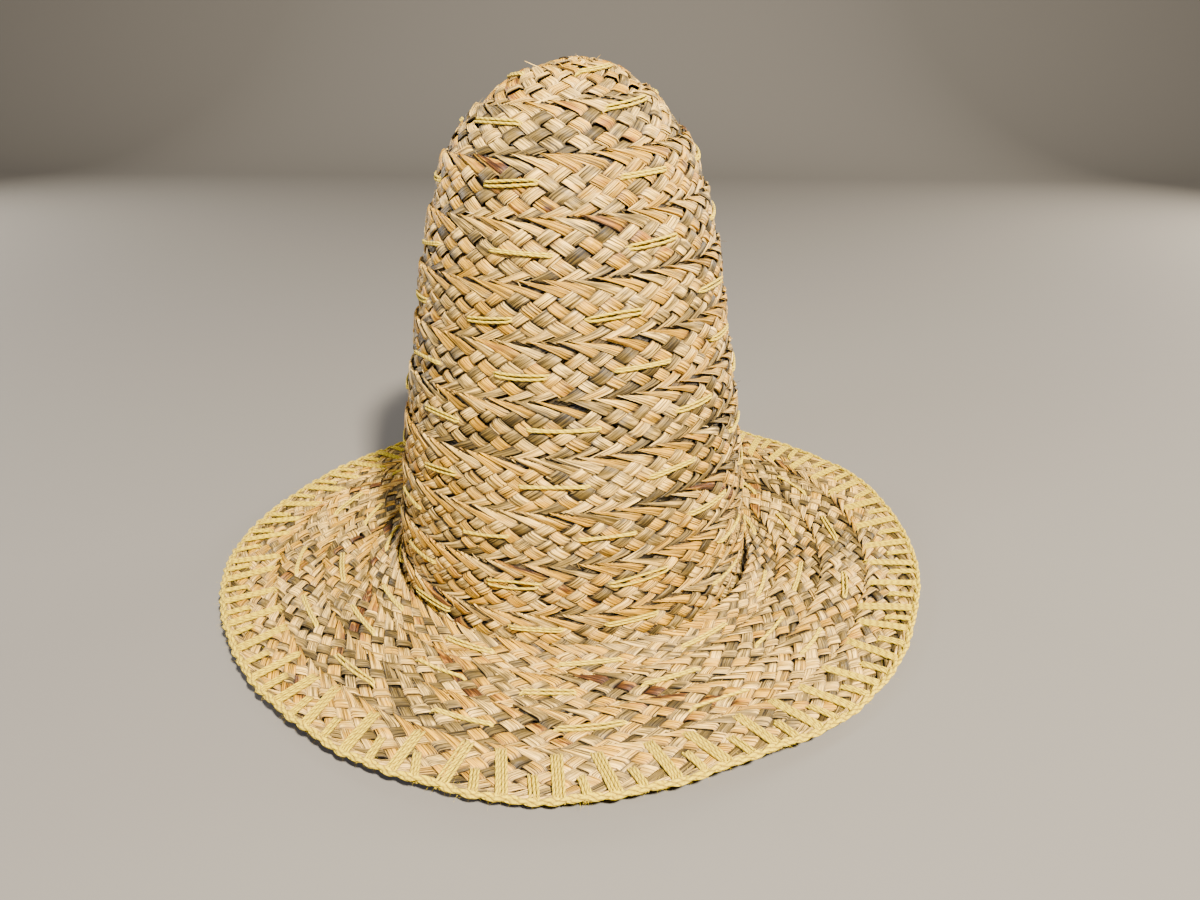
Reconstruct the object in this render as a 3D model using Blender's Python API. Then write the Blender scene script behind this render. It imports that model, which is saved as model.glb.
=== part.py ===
"""Tall straw hat made of one coiled plait, with a wavy four-row brim and a yarn-bound edge.

The crown's axis is the Z axis, and its mouth stands on the plane Z = 0. The front of the hat faces -Y.
Lengths are given in millimetres and turned to metres where the meshes are made.
"""

import math
from collections import namedtuple

import bmesh
import bpy
from mathutils import Vector

MM = 0.001
TAU = 2.0 * math.pi

# Crown: the outer outline, from the tip down to the mouth. The tip leans a little to one side.
CrownSection = namedtuple("CrownSection", "name radius height lean")
CROWN_SECTIONS = (
    CrownSection("tip", 0.0, 264.5, 2.4),
    CrownSection("tip_coil", 16.6, 261.8, 2.4),
    CrownSection("tip_edge", 29.5, 255.8, 1.8),
    CrownSection("upper_shoulder", 41.0, 247.0, 0.6),
    CrownSection("shoulder", 57.3, 228.6, 0.0),
    CrownSection("neck", 67.0, 203.0, 0.0),
    CrownSection("upper_wall", 73.6, 178.0, 0.0),
    CrownSection("wall_at_150", 78.0, 151.0, 0.0),
    CrownSection("wall_at_125", 82.6, 125.0, 0.0),
    CrownSection("wall_at_100", 87.0, 99.0, 0.0),
    CrownSection("lower_wall", 93.6, 47.0, 0.0),
    CrownSection("last_row", 96.0, 20.0, 0.0),
    CrownSection("mouth", 96.8, 0.0, 0.0),
)
CROWN_WALL = 2.1
CROWN_COLUMNS = 48

# The plait: each coil of it is one row, and the coil climbs one row for each turn round the crown.
ROW_PITCH = 26.4
FIRST_SEAM = 18.0
RowPoint = namedtuple("RowPoint", "name share relief")
CROWN_ROW = (
    RowPoint("top_edge_over_the_row_above", 0.0, 0.8),
    RowPoint("full_middle", 0.45, 0.5),
    RowPoint("bottom_edge_tucked_in", 0.93, -0.9),
)
TIP_FADE = 45.0
MOUTH_FADE = 14.0

# Distances from the tip of the plain rings that the inner wall is drawn through.
INNER_RINGS = (8.0, 20.0, 33.0, 47.0, 62.0, 80.0, 102.0, 130.0, 165.0, 205.0, 250.0)

# Brim: the edge line, by azimuth in degrees from the front, turning to the wearer's left (+X).
EdgePoint = namedtuple("EdgePoint", "azimuth radius height")
BRIM_EDGE = (
    EdgePoint(0.0, 192.6, 5.5),
    EdgePoint(22.5, 188.6, 9.6),
    EdgePoint(45.0, 189.4, 6.9),
    EdgePoint(67.5, 187.2, 7.9),
    EdgePoint(90.0, 191.6, 7.7),
    EdgePoint(112.5, 195.2, 11.0),
    EdgePoint(135.0, 194.6, 7.5),
    EdgePoint(157.5, 194.0, 7.4),
    EdgePoint(180.0, 192.2, 3.7),
    EdgePoint(202.5, 190.6, 7.0),
    EdgePoint(225.0, 188.4, 3.0),
    EdgePoint(247.5, 186.6, 4.4),
    EdgePoint(270.0, 191.2, 3.7),
    EdgePoint(292.5, 188.0, 8.2),
    EdgePoint(315.0, 188.6, 8.0),
    EdgePoint(337.5, 191.2, 7.0),
)
MEAN_EDGE_HEIGHT = 6.8

# Brim: the middle of its wall, from the lip at the crown (share 0) to the edge (share 1).
BrimSection = namedtuple("BrimSection", "name share height")
BRIM_SECTIONS = (
    BrimSection("lip", 0.0, 8.4),
    BrimSection("lip_foot", 0.045, 5.2),
    BrimSection("hollow_next_to_the_crown", 0.12, 3.7),
    BrimSection("first_seam", 0.207, 3.5),
    BrimSection("second_seam", 0.471, 5.2),
    BrimSection("third_seam", 0.74, 6.4),
    BrimSection("edge", 1.0, 6.8),
)
BRIM_SEAMS = (0.0, 0.207, 0.471, 0.74, 1.0)
BRIM_WALL = 2.5
BRIM_COLUMNS = 64
BRIM_ROW = (
    RowPoint("inner_edge_over_the_last_row", 0.0, 0.5),
    RowPoint("full_middle", 0.5, 0.2),
    RowPoint("outer_edge_tucked_in", 0.93, -0.8),
)
WAVE_POWER = 1.5

# Edge binding: the yarn bundle along the brim's edge.
BINDING_RADIUS = 2.6
BINDING_SIDES = 8

# Clear space between neighbouring pieces.
GAP = 0.3

Finish = namedtuple("Finish", "name colour roughness")
CROWN_FINISH = Finish("crown_straw", (0.62, 0.48, 0.27), 0.6)
BRIM_FINISH = Finish("brim_straw", (0.58, 0.43, 0.24), 0.6)
YARN_FINISH = Finish("yellow_yarn", (0.76, 0.64, 0.24), 0.85)


def clear_scene():
    """Remove every object of the open scene."""
    for item in list(bpy.data.objects):
        bpy.data.objects.remove(item, do_unlink=True)


def material(finish):
    """Make a plain Principled material."""
    made = bpy.data.materials.new(finish.name)
    made.use_nodes = True
    shader = made.node_tree.nodes["Principled BSDF"]
    shader.inputs["Base Color"].default_value = (*finish.colour, 1.0)
    shader.inputs["Roughness"].default_value = finish.roughness
    shader.inputs["Metallic"].default_value = 0.0
    return made


def add_object(name, mesh_data, finish):
    """Put a finished bmesh into the scene as a named object in metres."""
    bmesh.ops.recalc_face_normals(mesh_data, faces=mesh_data.faces)
    bmesh.ops.scale(mesh_data, vec=(MM, MM, MM), verts=mesh_data.verts)
    mesh = bpy.data.meshes.new(name)
    mesh_data.to_mesh(mesh)
    mesh_data.free()
    mesh.shade_smooth()
    mesh.set_sharp_from_angle(angle=math.radians(35.0))
    mesh.materials.append(material(finish))
    item = bpy.data.objects.new(name, mesh)
    bpy.context.scene.collection.objects.link(item)
    return item


def spline(before, start, end, after, share):
    """Catmull-Rom value between start and end."""
    a = 2.0 * start
    b = end - before
    c = 2.0 * before - 5.0 * start + 4.0 * end - after
    d = 3.0 * start - before - 3.0 * end + after
    return 0.5 * (a + b * share + c * share**2 + d * share**3)


def ring_value(rows, column, azimuth):
    """Smooth value of one column of a table that runs once round, with even steps."""
    place = (azimuth % TAU) / TAU * len(rows)
    first = int(place)
    near = [getattr(rows[(first + step) % len(rows)], column) for step in (-1, 0, 1, 2)]
    return spline(*near, place - first)


def section_value(rows, column, share):
    """Straight-line value of one column of a table that is ordered by its share."""
    for low, high in zip(rows, rows[1:]):
        if share <= high.share:
            part = (share - low.share) / (high.share - low.share)
            start = getattr(low, column)
            return start + (getattr(high, column) - start) * part
    return getattr(rows[-1], column)


class CrownOutline:
    """The crown's outer outline, read by the distance along it from the tip."""

    STEPS = 12

    def __init__(self, sections):
        first = sections[0]
        mirrored = sections[1]._replace(radius=-sections[1].radius)
        last = sections[-1]
        before = sections[-2]
        beyond = last._replace(radius=2 * last.radius - before.radius, height=2 * last.height - before.height)
        rows = [mirrored, first, *sections[1:], beyond]
        self.points = [(first.radius, first.height, first.lean)]
        for index in range(1, len(rows) - 2):
            near = rows[index - 1 : index + 3]
            for step in range(1, self.STEPS + 1):
                share = step / self.STEPS
                columns = ("radius", "height", "lean")
                self.points.append(
                    tuple(spline(*[getattr(row, column) for row in near], share) for column in columns)
                )
        self.distance = [0.0]
        for low, high in zip(self.points, self.points[1:]):
            self.distance.append(self.distance[-1] + math.dist(low[:2], high[:2]))
        self.length = self.distance[-1]

    def at(self, distance):
        """Radius, height, lean and outward normal at a distance from the tip."""
        index = 1
        while index < len(self.distance) - 1 and self.distance[index] < distance:
            index += 1
        low = self.points[index - 1]
        high = self.points[index]
        span = self.distance[index] - self.distance[index - 1]
        share = (distance - self.distance[index - 1]) / span
        radius, height, lean = (a + (b - a) * share for a, b in zip(low, high))
        along = Vector((high[0] - low[0], high[1] - low[1])).normalized()
        return radius, height, lean, Vector((-along.y, along.x))

    def point(self, distance, azimuth, offset):
        """A point of the wall, moved out of the outline by an offset."""
        radius, height, lean, normal = self.at(distance)
        radius += normal.x * offset
        height += normal.y * offset
        if distance >= self.length:
            height = 0.0
        return Vector((lean + radius * math.sin(azimuth), -radius * math.cos(azimuth), height))


def seam_distance(turn, azimuth):
    """Distance from the tip of the coil's seam number turn."""
    return FIRST_SEAM + ROW_PITCH * (turn - azimuth / TAU)


def crown_relief(outline, distance, relief):
    """Rib height, which fades out at the tip and at the mouth."""
    near_tip = min(1.0, distance / TIP_FADE)
    near_mouth = min(1.0, (outline.length - distance) / MOUTH_FADE)
    return relief * near_tip * near_mouth


def coil_steps(outline, azimuth):
    """Every step of the stepped wall on one upright line: its distance from the tip and its relief."""
    last_turn = int(outline.length / ROW_PITCH) + 2
    steps = []
    for turn in range(-1, last_turn):
        for row_point in CROWN_ROW:
            distance = seam_distance(turn, azimuth) + row_point.share * ROW_PITCH
            distance = min(max(distance, 0.0), outline.length)
            steps.append((distance, crown_relief(outline, distance, row_point.relief)))
    return steps


def build_crown():
    """The hollow crown: a stepped coil outside, a smooth wall inside and a flat ring at its mouth."""
    outline = CrownOutline(CROWN_SECTIONS)
    mesh_data = bmesh.new()
    known = {}

    def vertex(side, column, distance, offset):
        """One vertex for each place, so that neighbouring rows share it."""
        key = (side, column % CROWN_COLUMNS, round(distance, 4))
        if distance <= 0.0:
            key = (side, "tip")
        if key not in known:
            azimuth = TAU * (column % CROWN_COLUMNS) / CROWN_COLUMNS
            known[key] = mesh_data.verts.new(outline.point(distance, azimuth, offset))
        return known[key]

    def face(corners):
        """One face, left out where its corners meet."""
        distinct = list(dict.fromkeys(corners))
        if len(distinct) > 2:
            mesh_data.faces.new(distinct)

    # Outside: the last column joins the first one row further down the coil.
    for column in range(CROWN_COLUMNS):
        here = coil_steps(outline, TAU * column / CROWN_COLUMNS)
        there = coil_steps(outline, TAU * (column + 1) / CROWN_COLUMNS)
        for (a, a_out), (b, b_out), (c, c_out), (d, d_out) in zip(here, here[1:], there[1:], there):
            face(
                (
                    vertex("out", column, a, a_out),
                    vertex("out", column, b, b_out),
                    vertex("out", column + 1, c, c_out),
                    vertex("out", column + 1, d, d_out),
                )
            )

    # Inside: plain rings, and the flat ring that joins both walls at the mouth.
    rings = (0.0, *INNER_RINGS, outline.length)
    for column in range(CROWN_COLUMNS):
        for upper, lower in zip(rings, rings[1:]):
            face(
                (
                    vertex("in", column, upper, -CROWN_WALL),
                    vertex("in", column + 1, upper, -CROWN_WALL),
                    vertex("in", column + 1, lower, -CROWN_WALL),
                    vertex("in", column, lower, -CROWN_WALL),
                )
            )
        face(
            (
                vertex("out", column, outline.length, 0.0),
                vertex("out", column + 1, outline.length, 0.0),
                vertex("in", column + 1, outline.length, -CROWN_WALL),
                vertex("in", column, outline.length, -CROWN_WALL),
            )
        )
    return add_object("crown", mesh_data, CROWN_FINISH)


def brim_point(azimuth, share, offset):
    """A point of the brim between its lip and its edge, moved up from the middle of its wall."""
    lip_radius = CROWN_SECTIONS[-1].radius + GAP + 0.5 * BRIM_WALL
    edge_radius = ring_value(BRIM_EDGE, "radius", azimuth) - BINDING_RADIUS - GAP
    wave = ring_value(BRIM_EDGE, "height", azimuth) - MEAN_EDGE_HEIGHT
    step = 0.01
    low = max(0.0, share - step)
    high = min(1.0, share + step)

    def middle(part):
        """Radius and height of the middle of the wall."""
        radius = lip_radius + (edge_radius - lip_radius) * part
        return Vector((radius, section_value(BRIM_SECTIONS, "height", part) + wave * part**WAVE_POWER))

    along = (middle(high) - middle(low)).normalized()
    place = middle(share) + Vector((-along.y, along.x)) * offset
    return Vector((place.x * math.sin(azimuth), -place.x * math.cos(azimuth), place.y))


def brim_outline():
    """Share and offset of each corner of the brim's section, over the top and back underneath."""
    top = []
    for inner, outer in zip(BRIM_SEAMS, BRIM_SEAMS[1:]):
        for row_point in BRIM_ROW:
            top.append((inner + (outer - inner) * row_point.share, 0.5 * BRIM_WALL + row_point.relief))
    top.append((1.0, 0.4 * BRIM_WALL))
    under = [(section.share, -0.5 * BRIM_WALL) for section in reversed(BRIM_SECTIONS)]
    extra = [(0.045, 0.5 * BRIM_WALL)]
    return sorted(top + extra) + under


def build_ring(name, columns, section, finish):
    """A closed ring with one loop of section points on each column."""
    mesh_data = bmesh.new()
    loops = []
    for column in range(columns):
        azimuth = TAU * column / columns
        loops.append([mesh_data.verts.new(point) for point in section(azimuth)])
    for column in range(columns):
        here = loops[column]
        there = loops[(column + 1) % columns]
        count = len(here)
        for index in range(count):
            after = (index + 1) % count
            mesh_data.faces.new((here[index], there[index], there[after], here[after]))
    return add_object(name, mesh_data, finish)


def build_brim():
    """The brim: four rows of plait in a wavy ring, with the lip turned up at the crown."""
    corners = brim_outline()

    def section(azimuth):
        """The brim's section at one azimuth."""
        return [brim_point(azimuth, share, offset) for share, offset in corners]

    return build_ring("brim", BRIM_COLUMNS, section, BRIM_FINISH)


def build_edge_binding():
    """The yarn bundle along the edge."""

    def section(azimuth):
        """A round section centred on the edge line."""
        radius = ring_value(BRIM_EDGE, "radius", azimuth)
        height = ring_value(BRIM_EDGE, "height", azimuth)
        points = []
        for side in range(BINDING_SIDES):
            turn = TAU * (side + 0.5) / BINDING_SIDES
            out = radius + BINDING_RADIUS * math.cos(turn)
            up = height + BINDING_RADIUS * math.sin(turn)
            points.append(Vector((out * math.sin(azimuth), -out * math.cos(azimuth), up)))
        return points

    return build_ring("edge_binding", BRIM_COLUMNS, section, YARN_FINISH)


def build_hat():
    """Build the three pieces."""
    clear_scene()
    build_crown()
    build_brim()
    build_edge_binding()


build_hat()
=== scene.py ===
"""Straw hat: the woven plait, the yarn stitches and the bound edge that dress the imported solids.

Every length below is in millimetres unless its name says otherwise, and is turned to metres where a
mesh is made. The crown's axis is Z, the front of the hat faces -Y, and azimuths are counted from the
front towards +X.
"""

import math
from collections import namedtuple
from functools import partial

import bpy
import numpy as np
from mathutils import Euler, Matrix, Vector


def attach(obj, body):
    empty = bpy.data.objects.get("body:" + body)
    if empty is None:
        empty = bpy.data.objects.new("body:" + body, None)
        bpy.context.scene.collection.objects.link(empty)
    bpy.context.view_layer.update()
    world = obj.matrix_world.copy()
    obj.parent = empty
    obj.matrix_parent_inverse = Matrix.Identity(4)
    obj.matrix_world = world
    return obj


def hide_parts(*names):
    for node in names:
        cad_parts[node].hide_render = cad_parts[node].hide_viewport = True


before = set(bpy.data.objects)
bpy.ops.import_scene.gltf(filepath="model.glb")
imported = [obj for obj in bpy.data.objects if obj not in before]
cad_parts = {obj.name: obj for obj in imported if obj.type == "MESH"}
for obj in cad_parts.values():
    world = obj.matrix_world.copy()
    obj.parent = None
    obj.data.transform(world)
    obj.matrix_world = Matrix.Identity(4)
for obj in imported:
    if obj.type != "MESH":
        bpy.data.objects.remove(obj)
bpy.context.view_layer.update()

bl_info = {
    "name": "Straw hat",
    "version": (1, 0, 0),
    "blender": (4, 5, 0),
    "location": "View3D > Sidebar > Straw hat",
    "description": "Builds a hand-plaited straw hat with yarn stitches round its frame",
    "category": "Object",
}

MM = 0.001
TAU = 2.0 * math.pi


def table(name, columns, *rows):
    """A tuple of rows with named columns."""
    return tuple(map(namedtuple(name, columns)._make, rows))


# Crown: the outer outline from the tip down to the mouth, and on to the flare under the brim.
CROWN_SECTIONS = table(
    "CrownSection",
    "name radius height lean",
    ("tip", 0.0, 264.5, 2.4),
    ("tip_coil", 16.6, 261.8, 2.4),
    ("tip_edge", 29.5, 255.8, 1.8),
    ("upper_shoulder", 41.0, 247.0, 0.6),
    ("shoulder", 57.3, 228.6, 0.0),
    ("neck", 67.0, 203.0, 0.0),
    ("upper_wall", 73.6, 178.0, 0.0),
    ("wall_at_150", 78.0, 151.0, 0.0),
    ("wall_at_125", 82.6, 125.0, 0.0),
    ("wall_at_100", 87.0, 99.0, 0.0),
    ("lower_wall", 93.6, 47.0, 0.0),
    ("last_row", 96.0, 20.0, 0.0),
    ("mouth", 97.2, 7.0, 0.0),
    ("flare", 99.6, 2.9, 0.0),
    ("under_the_brim", 106.0, 2.2, 0.0),
    ("flare_end", 118.0, 2.2, 0.0),
)
CROWN_WALL_MIDDLE = 1.05
OUTLINE_STEPS = 16
# Below this height the plait is pressed flat, so that it stays above the floor.
PRESSED_HEIGHT = 2.0

# The plait coils from the mouth up to the tip, one row for each turn to the right.
ROW_PITCH = 26.4
FRONT_SEAM = 282.0
COIL_START = -0.5 * TAU
COIL_END = (FRONT_SEAM / ROW_PITCH + 0.9) * TAU
COIL_CLIP = (2.2, 313.0)
LEAST_COIL_RADIUS = 7.0
CROWN_CUTS = (0.30, 0.62)

# Brim: the middle of its wall from the lip (share 0) to the edge (share 1), and its row seams.
BRIM_SECTIONS = table(
    "BrimSection",
    "name share height",
    ("lip", 0.0, 8.4),
    ("lip_foot", 0.045, 5.4),
    ("hollow_next_to_the_crown", 0.12, 3.8),
    ("first_seam", 0.207, 3.6),
    ("second_seam", 0.471, 5.2),
    ("third_seam", 0.74, 6.4),
    ("edge", 1.0, 6.8),
)
BRIM_SEAMS = (0.0, 0.207, 0.471, 0.74, 1.0)
LIP_RADIUS = 99.4
WAVE_POWER = 1.5
SLOPE_REACH = 0.015

# The weave: a flat plait of seven strips, so a strip crosses six others between two folds.
FOLD_LEVEL = 7
FOLD_STATIONS = (0.0, 0.12, 0.5)
FOLD_BEND = 1.2
FOLD_SLANT = 2.0
SHADED_LAP = 4.0
SWEEP_REACH = 8.0
SEAM_LAP = 2.6
BEND_STATIONS = (0.38, 0.62, 1.0)
BEND_POWER = 8.0
STRIP_ANGLE = math.radians(34.0)
STRIP_ARCH = 0.12
WOBBLE_LENGTH = 21.0
CLIP_STATIONS = 141
LEAST_STRIP = 2.0
LINER_THICKNESS = 0.6
LINER_DROP = 0.5
# Lift is half the height between a strip that runs over and one that runs under.
Weave = namedtuple("Weave", "step cover sweep lift bulge step_out pale_share")
CROWN_WEAVE = Weave(12.0, 1.0, 1.5, 0.9, 0.5, 1.4, 0.5)
BRIM_WEAVE = Weave(11.4, 1.06, 0.65, 0.75, 0.3, 0.8, 0.36)

# Running stitches seen on the front of the crown: the turn of the coil counted up from the brim,
# the azimuths in degrees where the stitch comes out and goes in, and its place across the row.
CROWN_STITCHES = table(
    "Stitch",
    "turn start end across",
    (0, -18.0, 0.0, 7.0),
    (0, 10.0, 28.0, 6.0),
    (1, -62.0, -43.0, 10.5),
    (1, -25.0, -7.0, 10.5),
    (1, 11.0, 32.0, 10.5),
    (1, 52.0, 70.0, 10.5),
    (2, -34.0, -16.0, 13.0),
    (2, 2.0, 22.0, 13.0),
    (2, 38.0, 60.0, 13.0),
    (3, -53.0, -35.0, 13.5),
    (3, -16.0, 8.0, 13.5),
    (3, 24.0, 44.0, 13.5),
    (4, -55.0, -35.0, 12.5),
    (4, -14.0, 12.0, 12.5),
    (4, 35.0, 55.0, 12.5),
    (5, -25.0, -5.0, 14.5),
    (5, 14.0, 37.0, 14.5),
    (6, -37.0, -17.0, 17.0),
    (6, 6.0, 27.0, 17.0),
    (7, -30.0, -3.0, 14.5),
    (7, 21.0, 45.0, 14.5),
    (8, -36.0, -10.0, 12.0),
    (8, 20.0, 46.0, 12.0),
    (9, -60.0, -22.0, 10.6),
    (9, 18.0, 60.0, 5.5),
)
STITCH_SPACING = 60.0
STITCH_STATIONS = 15
STITCH_SHOULDER = 0.1
STITCH_TUCK = 1.2
YARN_SIDES = 6
YARN_TWIST = 7.0

# Blanket stitches over the edge, long and short in turn, and the yarns laid along the edge.
BLANKET_STITCHES = table("BlanketStitch", "length strands", (23.5, 4), (11.0, 3))
BLANKET_COUNT = 104
BLANKET_SLANT = math.radians(12.0)
SLANT_SPREAD = math.radians(5.0)
BLANKET_GAP = 2.05
WRAP_RADIUS = 1.75
WRAP_TURNS = (70.0, 35.0, 0.0, -35.0, -70.0)

# Along the edge: twisted straws under the wraps, and a two-yarn rope over them. Radii are those of
# a strand and of its circle, and turns are counted once round the brim.
EdgeStrands = namedtuple("EdgeStrands", "count radius circle turns stations")
EDGE_STRAWS = EdgeStrands(3, 0.85, 0.75, 38, 361)
EDGE_ROPE = EdgeStrands(2, 1.0, 0.8, 72, 721)
ROPE_PLACE = 2.1
ROPE_RISE = 0.45
ROPE_ANGLE = math.radians(26.0)
STRAW_EDGE_TONE = 0.6

# Loose ends and fuzz.
CROWN_FRAYED = 700
BRIM_ROW_FRAYED = 110
FRAYED_EDGE_SHARE = 0.6
FUZZ_COUNT = 2800
FUZZ_PLACE = 2.3
FUZZ_WIDTH = 0.035
FUZZ_CLEARANCE = 0.1
SLIVER_STATIONS = 4

# Section of one strip: place across the half width, and height as a share of the thickness.
STRIP_SECTION = (
    (-1.0, -0.5),
    (-1.0, 0.2),
    (-0.84, 0.5),
    (0.0, 0.42),
    (0.84, 0.5),
    (1.0, 0.2),
    (1.0, -0.5),
    (0.0, -0.5),
)
LINER_SECTION = ((-1.0, -0.5), (-1.0, 0.5), (1.0, 0.5), (1.0, -0.5))

# Tones of straw by age, from brown through orange and pale to khaki. The palest is a setting.
STRAW_TONES = (
    (0.00, "#563212"),
    (0.06, "#9A641C"),
    (0.13, "#BC861A"),
    (0.25, "#D49C12"),
    (0.38, "#C4922A"),
    (0.54, None),
    (0.70, "#8A7038"),
    (0.85, "#665224"),
    (1.00, "#46381A"),
)
# Tones of the two yarns, from the groove between the plies, darkened as painted shade, to the top of a
# ply, which is a setting.
STITCH_YARN_TONES = ((0.0, "#745A24"), (0.25, "#C4A21E"), (0.55, None))
EDGE_YARN_TONES = ((0.0, "#6A5020"), (0.25, "#B49412"), (0.55, None))

# Kinds of straw: each takes the draws from its own share on. Khaki starts where a row's pale share ends.
STRAW_KINDS = table(
    "StrawKind",
    "name start tone spread",
    ("pale", 0.0, 0.48, 0.06),
    ("khaki", None, 0.68, 0.09),
    ("orange", 0.87, 0.32, 0.04),
    ("brown", 0.985, 0.17, 0.03),
)
STRAW_COUNT = 4096
STRAW_STRIDE = 1009
BROWN_TONE = 0.2
ORANGE_TONE = 0.3
FACE_TONE = 0.11
# Keys set the grain of one straw or yarn apart from the next.
KEY_RANGE = 500.0
LINER_KEY_SHIFT = 31.0
STRAND_KEY_STEP = 40.0


def linear(hex_colour):
    """Linear RGBA of an sRGB hex colour."""
    parts = [int(hex_colour[index : index + 2], 16) / 255.0 for index in (1, 3, 5)]
    curved = [part / 12.92 if part <= 0.04045 else ((part + 0.055) / 1.055) ** 2.4 for part in parts]
    return (*curved, 1.0)


def share_setting(name, description, default, least=0.0):
    """A setting between its least value and one."""
    return bpy.props.FloatProperty(
        name=name, description=description, default=default, min=least, max=1.0, subtype="FACTOR"
    )


def length_setting(name, description, default):
    """A setting in metres."""
    return bpy.props.FloatProperty(name=name, description=description, default=default, unit="LENGTH")


def colour_setting(name, description, hex_colour):
    """A colour setting, with its default as sRGB hex."""
    return bpy.props.FloatVectorProperty(
        name=name,
        description=description,
        default=linear(hex_colour)[:3],
        size=3,
        min=0.0,
        max=1.0,
        subtype="COLOR",
    )


class HatSettings(bpy.types.PropertyGroup):
    """Sizes and colours of the hat that a user would change."""

    strip_cover: share_setting(
        "Strip cover", "Share of the spacing between strips that one strip covers", 0.81, 0.5
    )
    strip_thickness: length_setting("Strip thickness", "Thickness of one straw strip", 0.00055)
    doubled_share: share_setting(
        "Doubled strips", "Share of the strips that have a second straw lying under them", 0.6
    )
    yarn_width: length_setting("Yarn width", "Width of one strand of the yellow yarn", 0.0013)
    stitch_length: length_setting("Stitch length", "Visible length of one running stitch", 0.033)
    straw_colour: colour_setting("Straw colour", "Colour of the palest straw", "#EABE5C")
    edge_yarn_colour: colour_setting(
        "Edge yarn colour", "Colour of the yarn along the brim's edge and its blanket stitches", "#E0C214"
    )
    stitch_yarn_colour: colour_setting(
        "Stitch yarn colour", "Colour of the yarn of the running stitches", "#EACC2C"
    )
    seed: bpy.props.IntProperty(
        name="Seed",
        description="Start of the random draws that make the straw irregular",
        default=7,
        min=0,
    )


def settings():
    """The hat's settings on the open scene."""
    return bpy.context.scene.straw_hat


# Colours and materials


def link(tree, source, socket):
    """Link a socket, or a node's first output, to an input."""
    tree.links.new(source.outputs[0] if isinstance(source, bpy.types.Node) else source, socket)


def add_node(tree, kind, sources=(), **values):
    """Add a shader node, set its properties or its inputs by name, and link or set its inputs."""
    node = tree.nodes.new("ShaderNode" + kind)
    for name, value in values.items():
        if hasattr(node, name):
            setattr(node, name, value)
        else:
            node.inputs[name.replace("_", " ")].default_value = value
    for name, source in sources:
        if isinstance(source, float):
            node.inputs[name].default_value = source
        else:
            link(tree, source, node.inputs[name])
    return node


def set_stops(elements, stops, chosen):
    """Give a colour ramp its stops. The one that has no colour takes the chosen one."""
    while len(elements) < len(stops):
        elements.new(0.5)
    for element, (place, colour) in zip(elements, stops):
        element.position = place
        element.color = linear(colour) if colour else (*chosen, 1.0)


def new_material(name, **shader_values):
    """A node material, its tree and its main shader with values set by name."""
    made = bpy.data.materials.new(name)
    made.use_nodes = True
    shader = made.node_tree.nodes["Principled BSDF"]
    for socket, value in shader_values.items():
        shader.inputs[socket.replace("_", " ")].default_value = value
    return made, made.node_tree, shader


def straw_material(name):
    """Dry split straw: flattened stems with a waxy skin, dull where the skin has weathered.

    The eye sees fine fibres along each strip, a soft sheen, and straws of different ages.
    """
    made, tree, shader = new_material(name, IOR=1.5, Specular_IOR_Level=0.25)
    add = partial(add_node, tree)
    grain = add("Attribute", attribute_name="grain").outputs["Vector"]
    tone = add("Attribute", attribute_name="tone").outputs["Fac"]
    depth = add("Attribute", attribute_name="depth").outputs["Fac"]
    # Ridges and fibres lie 0.3 to 0.6 mm apart and run tens of millimetres along the strip.
    fine = add("Mapping", [("Vector", grain)], Scale=(0.035, 1.8, 1.0))
    ridges = add("TexNoise", [("Vector", fine)], Scale=1.0, Detail=2.0, Roughness=0.7)
    # Blotches where the straw has aged are 5 to 15 mm long.
    coarse = add("Mapping", [("Vector", grain)], Scale=(0.1, 0.22, 1.0))
    blotches = add("TexNoise", [("Vector", coarse)], Scale=1.0, Detail=2.0)
    # Noise keeps near its middle, so that part of it is spread over the whole range.
    spread = {"From_Min": 0.39, "From_Max": 0.61}
    aged = add("MapRange", [("Value", blotches)], To_Min=-0.11, To_Max=0.11, **spread)
    shifted = add("Math", [(0, aged), (1, tone)], operation="ADD", use_clamp=True)
    colour = add("ValToRGB", [("Fac", shifted)])
    set_stops(colour.color_ramp.elements, STRAW_TONES, settings().straw_colour)
    shade = add("MapRange", [("Value", ridges)], To_Min=0.1, To_Max=1.34, **spread)
    # Painted shade: what lies deep between the strips is darkened and greyed, where shade falls in the
    # weave.
    deep = add("Math", [(0, depth), (1, 1.6)], operation="POWER")
    painted_darkening = add("MapRange", [("Value", deep)], To_Min=1.0, To_Max=0.07)
    value = add("Math", [(0, shade), (1, painted_darkening)], operation="MULTIPLY")
    painted_greying = add("MapRange", [("Value", deep)], To_Min=1.0, To_Max=0.78)
    tinted = [("Color", colour), ("Saturation", painted_greying), ("Value", value)]
    link(tree, add("HueSaturation", tinted), shader.inputs["Base Color"])
    # The skin is duller in the furrows than on the ridges.
    rough = add("MapRange", [("Value", ridges)], To_Min=0.6, To_Max=0.4, **spread)
    link(tree, rough, shader.inputs["Roughness"])
    bump = add("Bump", [("Height", ridges)], Strength=1.0, Distance=0.0005)
    link(tree, bump, shader.inputs["Normal"])
    return made


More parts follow.
